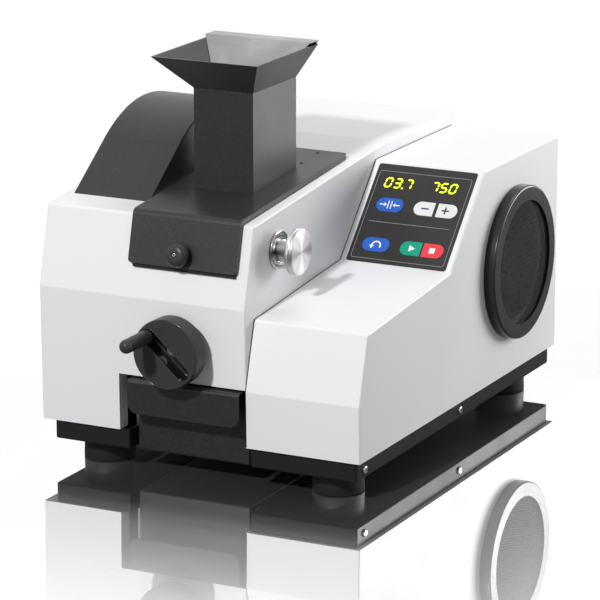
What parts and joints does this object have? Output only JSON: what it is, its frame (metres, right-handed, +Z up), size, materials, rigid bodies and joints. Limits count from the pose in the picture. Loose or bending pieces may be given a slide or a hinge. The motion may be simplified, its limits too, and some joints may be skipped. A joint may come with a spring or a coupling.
{
  "type": "laboratory jaw crusher",
  "caption": "Bench jaw mill for samples: tall feed hopper on a hinged lid, gap handwheel with folding crank, collecting drawer, key panel, guarded flywheel and vented motor.",
  "frame": {"origin": "middle of the whole width and depth, on the surface that the feet stand on", "axes": "+X to the right, +Y from the drawer to the rear panel, +Z up"},
  "size_m": [0.42, 0.654, 0.472],
  "materials": {
    "white_coat": "satin powder coat",
    "black_coat": "fine-textured powder coat",
    "tray_coat": "satin powder coat",
    "rubber_black": "matt",
    "wheel_black": "satin, polished slot",
    "steel": "brushed",
    "bright_steel": "polished",
    "zinc_steel": "zinc plated",
    "iron": "machined and oiled",
    "jaw_steel": "hardened manganese steel",
    "bearing": "ground",
    "motor_alloy": "cast",
    "winding": "enamelled copper",
    "fan_plastic": "moulded",
    "belt_rubber": "ribbed belt, matt",
    "foil": "printed foil, dark grey",
    "window": "dark tinted window",
    "board": "solder mask",
    "drive_case": "anodised",
    "key_blue": "foil key",
    "key_white": "foil key",
    "key_green": "foil key",
    "key_red": "foil key",
    "black_plastic": "moulded",
    "foam": "closed-cell foam"
  },
  "bodies": {
    "frame": {"base_tray": "tray_coat", "rubber_feet": "rubber_black", "base_screws": "zinc_steel", "crusher_cover": "white_coat", "control_cover": "white_coat", "rear_panel": "white_coat", "rear_screws": "zinc_steel", "mains_inlet": "black_plastic", "flywheel_guard": "black_coat", "fan_ring": "black_coat", "fan_mesh": "black_coat", "control_panel": "foil", "display_windows": "window", "circuit_board": "board", "drive_inverter": "drive_case", "drawer_tunnel": "zinc_steel", "crusher_side_plates": "iron", "wear_plates": "jaw_steel", "front_block": "iron", "spindle_bearing": "bearing", "rear_block": "iron", "toggle_plate": "jaw_steel", "main_bearings": "bearing", "drive_belt": "belt_rubber", "feed_chute": "steel", "motor_housing": "motor_alloy", "motor_stator": "winding", "lid_hinge": "steel", "lock_bushing": "bright_steel"},
    "gap_wheel": {"handwheel": "wheel_black", "gap_spindle": "steel", "crank_pin": "steel"},
    "crank": {"crank_knuckle": "bright_steel"},
    "grip": {"crank_grip": "wheel_black"},
    "front_jaw": {"jaw_carrier": "iron", "fixed_jaw_plate": "jaw_steel"},
    "lid": {"hopper_lid": "black_coat", "lid_gasket": "foam", "feed_hopper": "black_coat", "hopper_baffle": "steel", "lid_knob": "wheel_black"},
    "lock": {"lock_knob": "bright_steel"},
    "drawer": {"drawer_tray": "black_coat", "drawer_front": "black_coat"},
    "crankshaft": {"eccentric_shaft": "bearing", "flywheel": "iron", "driven_pulley": "iron"},
    "swing": {"swing_jaw": "iron", "moving_jaw_plate": "jaw_steel", "tension_rod": "zinc_steel"},
    "motor": {"motor_rotor": "bearing", "motor_pulley": "iron", "motor_fan": "fan_plastic"},
    "rocker": {"rocker_switch": "black_plastic"},
    "key_reset": {"key_reset": "key_blue"},
    "key_minus": {"key_minus": "key_white"},
    "key_plus": {"key_plus": "key_white"},
    "key_reverse": {"key_reverse": "key_blue"},
    "key_start": {"key_start": "key_green"},
    "key_stop": {"key_stop": "key_red"}
  },
  "joints": [
    {"name": "gap_wheel_turn", "type": "hinge", "parent": "frame", "child": "gap_wheel", "pos_m": [-0.029, -0.2705, 0.1575], "axis": [0, 1, 0], "range_deg": [-1314, 648]},
    {"name": "crank_fold", "type": "hinge", "parent": "gap_wheel", "child": "crank", "pos_m": [-0.05025, -0.2622, 0.17664], "axis": [0.6691, 0, 0.7431], "range_deg": [0, 90]},
    {"name": "grip_spin", "type": "hinge", "parent": "crank", "child": "grip", "pos_m": [-0.05025, -0.2728, 0.17664], "axis": [0, 1, 0], "continuous": true},
    {"name": "front_jaw_slide", "type": "slide", "parent": "frame", "child": "front_jaw", "axis": [0, 1, 0], "range_m": [-0.0073, 0.0036]},
    {"name": "lid_hinge_turn", "type": "hinge", "parent": "frame", "child": "lid", "pos_m": [-0.029, 0.05105, 0.32702], "axis": [-1, 0, 0], "range_deg": [0, 92]},
    {"name": "lock_push", "type": "slide", "parent": "frame", "child": "lock", "axis": [-1, 0, 0], "range_m": [0, 0.008]},
    {"name": "drawer_slide", "type": "slide", "parent": "frame", "child": "drawer", "axis": [0, -1, 0], "range_m": [0, 0.185]},
    {"name": "crankshaft_spin", "type": "hinge", "parent": "frame", "child": "crankshaft", "pos_m": [-0.029, 0.004, 0.215], "axis": [1, 0, 0], "continuous": true},
    {"name": "swing_jaw_turn", "type": "hinge", "parent": "crankshaft", "child": "swing", "pos_m": [-0.029, 0.003, 0.215], "axis": [1, 0, 0], "continuous": true},
    {"name": "motor_spin", "type": "hinge", "parent": "frame", "child": "motor", "pos_m": [-0.128, 0.195, 0.186], "axis": [1, 0, 0], "continuous": true},
    {"name": "rocker_rock", "type": "hinge", "parent": "frame", "child": "rocker", "pos_m": [0.099, 0.3188, 0.103], "axis": [-1, 0, 0], "range_deg": [0, 14]},
    {"name": "key_reset_press", "type": "slide", "parent": "frame", "child": "key_reset", "axis": [0, 0.722, -0.6919], "range_m": [0, 0.0005], "stiffness_N_per_m": 600, "springref_m": -0.0005},
    {"name": "key_minus_press", "type": "slide", "parent": "frame", "child": "key_minus", "axis": [0, 0.722, -0.6919], "range_m": [0, 0.0005], "stiffness_N_per_m": 600, "springref_m": -0.0005},
    {"name": "key_plus_press", "type": "slide", "parent": "frame", "child": "key_plus", "axis": [0, 0.722, -0.6919], "range_m": [0, 0.0005], "stiffness_N_per_m": 600, "springref_m": -0.0005},
    {"name": "key_reverse_press", "type": "slide", "parent": "frame", "child": "key_reverse", "axis": [0, 0.722, -0.6919], "range_m": [0, 0.0005], "stiffness_N_per_m": 600, "springref_m": -0.0005},
    {"name": "key_start_press", "type": "slide", "parent": "frame", "child": "key_start", "axis": [0, 0.722, -0.6919], "range_m": [0, 0.0005], "stiffness_N_per_m": 600, "springref_m": -0.0005},
    {"name": "key_stop_press", "type": "slide", "parent": "frame", "child": "key_stop", "axis": [0, 0.722, -0.6919], "range_m": [0, 0.0005], "stiffness_N_per_m": 600, "springref_m": -0.0005}
  ],
  "couplings": [
    {"joint": "gap_wheel_turn", "follows": "front_jaw_slide", "rad_per_m": 3141.6},
    {"joint": "swing_jaw_turn", "follows": "crankshaft_spin", "ratio": -1},
    {"joint": "motor_spin", "follows": "crankshaft_spin", "ratio": 2.8947}
  ]
}
